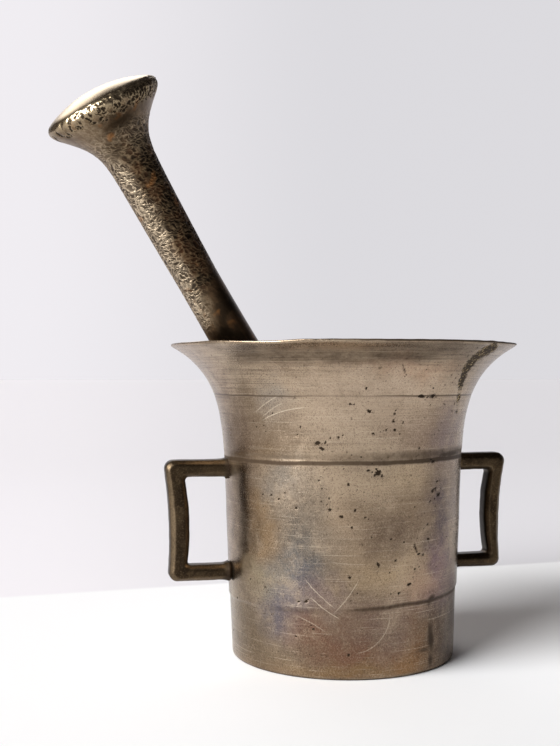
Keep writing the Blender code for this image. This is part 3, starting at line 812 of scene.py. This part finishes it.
def handleFinish():
    # dark olive patina, rubbed to tan along the chamfers, where a painted highlight lies too; painted shade
    # on the grip's inner face and at the arms' roots
    material, shader, b = newFinish("handleBrass")
    tone = handleTones
    shader.inputs["Metallic"].default_value = 1.0
    place = b.objectPlace()
    drift = b.cloud(place, 0.14, 4.0, 0.6, 0.5)
    grain = b.cloud(place, 1.9, 3.0, 0.7)
    fine = b.cloud(place, 0.6, 4.0, 0.7)
    # painted highlight along the chamfers, with some rubbed wear
    wornAndHighlit = (b.attribute("edge") * (0.35 + drift) + (grain - 0.5) * 0.5).rise(0.25, 1.0)
    root = (b.attribute("root") + (fine - 0.5) * 0.5).rise(0.3, 0.9)
    colour = b.layers(
        b.mix(drift.rise(0.35, 0.65), tone["dull"], tone["bright"]),
        ((fine - 0.5).rise(0.0, 0.2) * 0.35, tone["fine"]),
        (wornAndHighlit * 0.4, tone["wornAndHighlit"]),
        ((grain - 0.5).rise(0.02, 0.2) * 0.22, tone["grainLight"]),
        ((0.5 - grain).rise(0.02, 0.2) * 0.5, tone["grainDark"]),
        # painted shade at the arms' roots, which are also rougher
        (root * 0.75, tone["root"]),
        # painted shade on the grip's inner face
        (b.attribute("inner") * 0.9, tone["inner"]))
    relief = fine * 0.6 + grain * 0.3 + drift * 0.6
    plug(b, shader, Base_Color=colour, Roughness=0.34 + drift * 0.14 + root * 0.2,
         Normal=b.bump(relief, 0.6, 0.00018))
    return material


# the pestle: turned straight up first, hammered, then bent and leant into place; sizes in mm
pestle = {
    "columns": 156, "crowd": 0.5, "endRows": 16, "shaftRows": [(0.0, 62, 1.6), (62, 193.6, 0.3)],
    "shaft": 7.2, "bulge": 8.8, "bulgeFade": 53.0, "bulgePower": 1.6, "swell": 0.0189, "swellAt": 131.7,
    "cone": 1.19, "coneSoft": 3.24, "coneAt": 186.6, "end": 16.0,
    "headTop": 204.4, "dome": 44.0, "rimAt": 198.2, "underTo": 193.8, "domeFrom": 16.8,
    "lowerPull": 4.2, "upperPull": 5.2, "rimRows": 30, "domeRows": 38,
    "bend": 1990.0, "bendAt": 110.0, "lean": 34.3, "leanTo": 19.5, "endAt": (11.8, 4.18, 28.3),
    "markDepth": 0.34, "markLength": 2.3, "markWidth": 1.05, "slant": 0.5, "chipDepth": 0.3,
}


def pestleRadius(t):
    p = pestle
    climb = (t - p["coneAt"]) / p["coneSoft"]
    return (p["shaft"] + p["bulge"] * np.exp(-(t / p["bulgeFade"]) ** p["bulgePower"])
            + p["swell"] * np.maximum(t - p["swellAt"], 0)
            + p["cone"] * p["coneSoft"] * np.log1p(np.exp(climb)))


def domeHeight(r):
    return pestle["headTop"] - pestle["dome"] + math.sqrt(pestle["dome"] ** 2 - r ** 2)


def pestleRings():
    # radius and height of each ring: round end, shaft, the head's rim as one curve, and the dome
    p = pestle
    domeFrom, underTo = p["domeFrom"], p["underTo"]
    under, domeTop = float(pestleRadius(np.array(underTo))), domeHeight(domeFrom)
    slope = math.atan(p["cone"] * 0.92)
    fall = math.atan(domeFrom / math.sqrt(p["dome"] ** 2 - domeFrom ** 2))
    low, high = p["lowerPull"], p["upperPull"]
    pull = np.array([(under, underTo), (under + low * math.sin(slope), underTo + low * math.cos(slope)),
                     (domeFrom + high * math.cos(fall), domeTop - high * math.sin(fall)),
                     (domeFrom, domeTop)])
    rings = [(p["end"] * math.sin(t), -p["end"] * math.cos(t))
             for t in np.linspace(0.1, math.pi / 2, p["endRows"], endpoint=False)]
    rings += [(pestleRadius(t), t) for t in np.concatenate([np.arange(*row) for row in p["shaftRows"]])]
    for u in np.linspace(0, 1, p["rimRows"]):
        weights = ((1 - u) ** 3, 3 * u * (1 - u) ** 2, 3 * u * u * (1 - u), u ** 3)
        rings.append(tuple(sum(weight * end for weight, end in zip(weights, pull))))
    return rings + [(r, domeHeight(r)) for r in np.linspace(domeFrom - 0.4, 0.5, p["domeRows"])]


def pestleMarks(points, turn, middle):
    # where the pestle is hammered, dirty and chipped; the dirty mark also paints shade down the right side
    # and low on the shaft
    along, rimAt = points[:, 2], pestle["rimAt"]
    dark = np.sin(turn - middle)  # -1 on the left side, 1 on the right
    lower = 125 + 9 * dark + 5 * roughness3(points, 0.12, 4.0, 2)
    struck = softStep(along, lower - 6, lower + 8) * (1 - softStep(along, rimAt - 11, rimAt - 6))
    struck *= 1 - 0.6 * softStep(along, 174, 188) * (1 - softStep(dark, -0.3, 0.6))
    # dirt with painted shade: darker on the right side and low on the shaft
    blotchy = dark + 0.35 * roughness3(points, 0.10, 41.0, 3)
    dirtyAndShaded = softStep(blotchy, -0.42, 0.18) * (1 - 0.55 * softStep(along, 176, 190))
    dirtyAndShaded = dirtyAndShaded * (1 - softStep(along, rimAt - 1, rimAt + 1))
    dirtyAndShaded = np.maximum(dirtyAndShaded, softStep(blotchy, -1.0, -0.3) * (1 - softStep(along, 112, 121)) * 0.95)
    ring = softStep(along, rimAt - 5.4, rimAt - 3.0) * (1 - softStep(along, rimAt + 0.8, rimAt + 2.4))
    chipped = ring * np.clip(0.64 + 0.5 * dark + 0.4 * roughness3(points, 0.16, 14.0, 2), 0, 1)
    return {"struck": struck, "dirtyAndShaded": dirtyAndShaded, "chipped": chipped,
            "head": softStep(along, rimAt - 2, rimAt + 1.5), "straight": points.copy()}


def bendAndLean(points):
    # bends the straight pestle above bendAt, then leans it and moves its end into the bowl
    p = pestle
    across, along = points[:, 0], points[:, 2]
    turnBy = np.maximum(along - p["bendAt"], 0) / p["bend"]
    arm = p["bend"] - across
    bentX = np.where(turnBy > 0, p["bend"] - arm * np.cos(turnBy), across)
    bentZ = np.where(turnBy > 0, p["bendAt"] + arm * np.sin(turnBy), along)
    lean = (Matrix.Rotation(math.radians(p["leanTo"]), 3, "Z")
            @ Matrix.Rotation(math.radians(-p["lean"]), 3, "Y"))
    return np.stack([bentX, points[:, 1], bentZ], -1) @ np.array(lean).T + np.array(p["endAt"])


def pestleSkin(finish):
    p = pestle
    rings = pestleRings()
    turns = roundTurns(p["columns"], frontTurn - math.radians(p["leanTo"]), p["crowd"])
    radius, along = (np.array(values)[:, None] * np.ones((1, len(turns))) for values in zip(*rings))
    points = np.vstack([roundPoints(radius, turns, along), [[0, 0, -p["end"]], [0, 0, p["headTop"]]]])
    turn = np.append(np.tile(turns, len(rings)), [0, 0])
    marks = pestleMarks(points, turn, turns[len(turns) // 2])
    piece = meshObject("pestlePiece", points, gridFaces(len(rings), len(turns)), finish, marks)
    runTree(piece, hammerMarks(finish), {
        "Depth": p["markDepth"], "Length": p["markLength"], "Width": p["markWidth"], "Slant": p["slant"],
        "Chip depth": p["chipDepth"], "Finish": finish})
    shape = np.zeros(len(piece.data.vertices) * 3)
    piece.data.vertices.foreach_get("co", shape)
    shape = bendAndLean(shape.reshape(-1, 3)) * mm
    piece.data.vertices.foreach_set("co", shape.ravel())
    piece.data.update()
    return piece


def strokeCells(bench, here, length, width, slant):
    # slanted cells across the shaft, one for each hammer stroke
    x, y, t = bench.split(here)
    wobble = bench.cloud(here, 0.16, 2.0) - 0.5
    warp = bench.cloud(here, 0.55, 2.0) - 0.5
    return bench.join((x + warp * 1.6) / length, (y - warp * 1.6) / length,
                      (t + x * slant + wobble * 7.0 + warp * 1.4) / width)


def chipCells(bench, here):
    # cells for the chips round the head's rim
    x, y, t = bench.split(here)
    warp = bench.cloud(here, 0.8, 3.0) - 0.5
    return bench.join(x * 0.72 + warp * 1.8, y * 0.72 - warp * 1.5, (t + x * 0.8) * 0.34 + warp * 1.2)


def hammerMarks(finish):
    # short hammer strokes across the shaft and chips under the head's edge; works in mm
    tree, bench, given = geometryTree("hammerMarks", {
        "Depth": 1.0, "Length": 1.0, "Width": 1.0, "Slant": 1.0, "Chip depth": 1.0, "Finish": finish})
    here = bench.add("GeometryNodeInputPosition")
    cell = strokeCells(bench, here, given["Length"], given["Width"], given["Slant"])
    hollow = bench.cells(cell, feature="DISTANCE_TO_EDGE").rise(0.0, 0.35)
    hollow = hollow * (0.4 + bench.cellChance(cell) * 0.6)
    flake = chipCells(bench, here)
    chip = bench.cells(flake, feature="DISTANCE_TO_EDGE").rise(0.02, 0.2)
    chip = chip * (bench.stored("chipped") * 1.15 - bench.cellChance(flake)).rise(0.0, 0.12)
    sink = hollow * bench.stored("struck") * given["Depth"] + chip * given["Chip depth"]
    sunk = bench.vector("SCALE", bench.add("GeometryNodeInputNormal"), Scale=sink * -1.0)
    lowered = bench.add("GeometryNodeSetPosition", None, {"Geometry": given["Geometry"], "Offset": sunk})
    closeTree(bench, lowered, given["Finish"])
    return tree


pestleTones = {
    "smoothDull": (0.11, 0.075, 0.042), "smoothBright": (0.28, 0.21, 0.135), "streak": (0.13, 0.08, 0.042),
    # the shaded dirt tones are dirt with painted shade, for the pestle's darker right side
    "shadedDirtBlack": (0.028, 0.018, 0.011), "shadedDirtBrown": (0.085, 0.048, 0.025),
    "hollowDark": (0.042, 0.030, 0.020), "hollowPale": (0.155, 0.12, 0.085),
    "shadedDirtyHollow": (0.016, 0.0105, 0.007), "shadedRustyHollow": (0.058, 0.028, 0.014),
    "crest": (0.64, 0.515, 0.365), "shadedDirtyCrest": (0.40, 0.28, 0.155),
    "headDull": (0.40, 0.31, 0.19), "headBright": (0.56, 0.45, 0.30), "rust": (0.34, 0.15, 0.05),
    "grain": (0.05, 0.035, 0.02), "dots": (0.03, 0.02, 0.012),
    "chipEdge": (0.62, 0.50, 0.31), "chip": (0.028, 0.019, 0.012),
}


def pestleFinish():
    # gold ridges between dark hollows, a smooth dark lower shaft and a polished dome; dirt with painted shade
    # darkens the right side and the lower shaft
    material, shader, b = newFinish("pestleBrass")
    p, tone = pestle, pestleTones
    shader.inputs["Metallic"].default_value = 1.0
    place = b.attribute("straight", "Vector")
    struck, head = b.attribute("struck"), b.attribute("head")
    dirtyAndShaded, chipped = b.attribute("dirtyAndShaded"), b.attribute("chipped")
    grain = b.cloud(place, 1.9, 3.0, 0.7)
    fine = b.cloud(place, 0.7, 4.0, 0.7)
    drift = b.cloud(place, 0.11, 4.0, 0.6, 0.5)
    streak = b.cloud(b.vector("MULTIPLY", place, (0.9, 0.9, 0.1)), 1.0, 3.0, 0.6)
    smooth = b.layers(
        b.mix(drift.rise(0.35, 0.65), tone["smoothDull"], tone["smoothBright"]),
        (streak.rise(0.42, 0.62) * 0.65, tone["streak"]),
        # dirt with painted shade on the right side and the lower shaft
        (dirtyAndShaded * 0.92, b.mix(drift.rise(0.4, 0.6), tone["shadedDirtBlack"], tone["shadedDirtBrown"])))
    cell = strokeCells(b, place, p["markLength"], p["markWidth"], p["slant"])
    crest = (b.cells(cell, feature="DISTANCE_TO_EDGE") + (fine - 0.5) * 0.3).fall(0.02, 0.22)
    crest = crest * (0.25 + fine.rise(0.40, 0.60) * 0.75) * (1.0 - dirtyAndShaded * 0.65)
    # darker hollows and duller ridges where dirt and painted shade lie
    bottom = b.mix(dirtyAndShaded, b.mix(b.cellChance(cell), tone["hollowDark"], tone["hollowPale"]),
                   b.mix(drift.rise(0.45, 0.62), tone["shadedDirtyHollow"], tone["shadedRustyHollow"]))
    flake = chipCells(b, place)
    bite = b.cells(flake, feature="DISTANCE_TO_EDGE")
    chip = (bite + (fine - 0.5) * 0.2).rise(0.05, 0.14)
    chip = chip * (chipped * 1.15 - b.cellChance(flake)).rise(0.0, 0.1)
    colour = b.layers(
        smooth,
        (struck, b.mix(crest, bottom, b.mix(dirtyAndShaded, tone["crest"], tone["shadedDirtyCrest"]))),
        (head, b.mix(drift.rise(0.35, 0.65), tone["headDull"], tone["headBright"])),
        (b.cloud(place, 0.16, 2.0).rise(0.62, 0.75) * (1.0 - head) * 0.6, tone["rust"]),
        ((0.5 - grain).rise(0.02, 0.2) * (0.45 - head * 0.3), tone["grain"]),
        (b.cells(place, 0.5).fall(0.04, 0.09) * 0.5, tone["dots"]),
        (bite.fall(0.02, 0.12) * chipped * 0.35, tone["chipEdge"]),
        (chip * 0.93, tone["chip"]))
    rough = 0.34 + drift * 0.1 + struck * (1.0 - crest) * 0.12 + chip * 0.3 - head * 0.14
    relief = (fine * 0.5 + grain * 0.3) * (1.0 - head * 0.8) + crest * struck * 1.1 + drift * 0.4
    plug(b, shader, Base_Color=colour, Roughness=rough, Normal=b.bump(relief, 0.6, 0.00018))
    return material


mortarBrass = mortarFinish()
mortarBody = mortarSkin(mortarBrass)
print("mortar:", len(mortarBody.data.polygons), "faces")
handleBrass = handleFinish()
handlePieces = {name: handlePiece(name, spec, handleBrass) for name, spec in handles.items()}
print("handles made")
pestleBrass = pestleFinish()
pestlePiece = pestleSkin(pestleBrass)
print("pestle:", len(pestlePiece.data.polygons), "faces")

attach(mortarBody, "mortar")
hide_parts("mortar_body")
for name, piece in handlePieces.items():
    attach(piece, "mortar")
    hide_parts(handles[name]["node"])
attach(pestlePiece, "pestle")
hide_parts("pestle")


studio = {
    "floorSize": 60.0, "floorTone": (0.93, 0.935, 0.945), "floorLight": 1.06,
    "wallFrom": 0.1336, "wallSlant": -0.087, "wallTurn": 13.0, "wallLeft": -0.27, "wallRight": 0.08,
    # the wall's painted shading, pale on the left and dimmer on the right
    "wallPale": (0.875, 0.85, 0.885), "wallDim": (0.715, 0.705, 0.735),
    "roomPale": (0.74, 0.71, 0.69), "roomDim": (0.36, 0.34, 0.34), "ceiling": (0.035, 0.03, 0.03),
    "wallLight": (0.95, 0.93, 0.98), "leftLight": (0.95, 0.88, 0.78), "gapDark": (0.05, 0.035, 0.028),
    "lampLight": (3.4, 3.2, 3.0), "lampAt": (-0.36, 0.58), "lampSize": (0.32, 0.14),
    "camera": (-0.1114, -0.3774, 0.1040), "turn": -13.0, "lens": 49.7, "lift": 0.004,
    "sun": 6.3, "sunAngle": 46.0, "sunTurn": (64, 0, -67),
}


def makeFloor():
    # a wide floor that takes the wall's tone behind the mortar, so the two meet in a soft line; that tone
    # carries the wall's painted shading, pale on the left, dimmer on the right and a little brighter near the
    # line
    s = studio
    points = np.array([(-1, -1, 0), (1, -1, 0), (1, 1, 0), (-1, 1, 0)], float) * s["floorSize"] / 2
    material, shader, b = newFinish("paleFloor")
    shader.inputs["Roughness"].default_value = 0.8
    x, y, z = b.split(b.add("ShaderNodeTexCoord", None, None, "Object"))
    turn = math.radians(s["wallTurn"])
    eyeX, eyeY = x - s["camera"][0], y - s["camera"][1]
    across = ((eyeX * math.cos(turn) - eyeY * math.sin(turn))
              / (eyeX * math.sin(turn) + eyeY * math.cos(turn)))
    # painted shading of the wall: pale on the left, dimmer on the right, a little brighter near the line
    wall = b.mix(across.rise(s["wallLeft"], s["wallRight"]), s["wallPale"], s["wallDim"])
    wall = b.vector("SCALE", wall, Scale=(y - 0.12).rise(0.0, 0.9, 1.06, 1.0) / s["floorLight"])
    line = (y + x * s["wallSlant"]).rise(s["wallFrom"] - 0.002, s["wallFrom"] + 0.004)
    plug(b, shader, Base_Color=b.mix(line, s["floorTone"], wall))
    meshObject("floor", points, [(0, 1, 2, 3)], material)


def makeRoom():
    # the light of the room from every side; the camera itself sees only the wall, with painted shading from
    # pale on the left to dimmer on the right
    s = studio
    world = bpy.data.worlds.new("studioSky")
    world.use_nodes = True
    bpy.context.scene.world = world
    tree = world.node_tree
    tree.nodes.clear()
    b = Bench(tree)
    way = b.add("ShaderNodeTexCoord", None, None, "Generated")
    side, back, up = b.split(b.turned(way, (0, 0, -frontTurn)))
    lookAt = b.math("ARCTAN2", side, back * -1.0)  # 0 towards the front, + to the right
    high = up.rise(-0.04, 0.20)
    (lampSide, lampUp), (lampWide, lampTall) = s["lampAt"], s["lampSize"]
    lamp = b.distance((side - lampSide) / lampWide, (up - lampUp) / lampTall)
    light = b.layers(
        b.mix(abs(lookAt - 0.15).rise(0.25, 1.3), s["roomPale"], s["roomDim"]),
        (high, s["ceiling"]),
        (abs(lookAt + 0.1).rise(2.2, 2.75) * (up + side.rise(-0.2, 0.3) * 0.25).fall(0.45, 0.85),
         s["wallLight"]),
        (abs(lookAt + 1.45).fall(0.1, 0.42) * (1.0 - high) * 0.85, s["leftLight"]),
        (abs(lookAt + 1.98).fall(0.16, 0.40) * up.fall(0.3, 0.8), s["gapDark"]),
        (lamp.fall(0.4, 1.3) * back.rise(0.0, 0.2), s["lampLight"]))
    x, y, z = b.split(b.turned(way, (0, 0, math.radians(s["wallTurn"]))))
    # painted shading of the wall, pale on the left and dimmer on the right
    backdrop = b.mix((x / y).rise(s["wallLeft"], s["wallRight"]), s["wallPale"], s["wallDim"])
    seen = b.add("ShaderNodeLightPath", None, None, "Is Camera Ray")
    glow = b.add("ShaderNodeBackground", None, {"Color": b.mix(seen, light, backdrop), "Strength": 1.0})
    end = tree.nodes.new("ShaderNodeOutputWorld")
    tree.links.new(glow.socket, end.inputs["Surface"])


def makeWindowAndCamera():
    s = studio
    light = bpy.data.lights.new("window", "SUN")
    light.energy = s["sun"]
    light.angle = math.radians(s["sunAngle"])
    window = bpy.data.objects.new("window", light)
    window.rotation_euler = [math.radians(a) for a in s["sunTurn"]]
    bpy.context.scene.collection.objects.link(window)

    lens = bpy.data.cameras.new("camera")
    lens.lens = s["lens"]
    lens.sensor_width = 36.0
    lens.shift_y = s["lift"]
    lens.clip_start = 0.01
    camera = bpy.data.objects.new("camera", lens)
    camera.location = s["camera"]
    camera.rotation_euler = (math.radians(90), 0, math.radians(s["turn"]))
    bpy.context.scene.collection.objects.link(camera)
    bpy.context.scene.camera = camera
    bpy.context.scene.view_settings.view_transform = "Standard"


makeFloor()
makeRoom()
makeWindowAndCamera()
print("studio made")
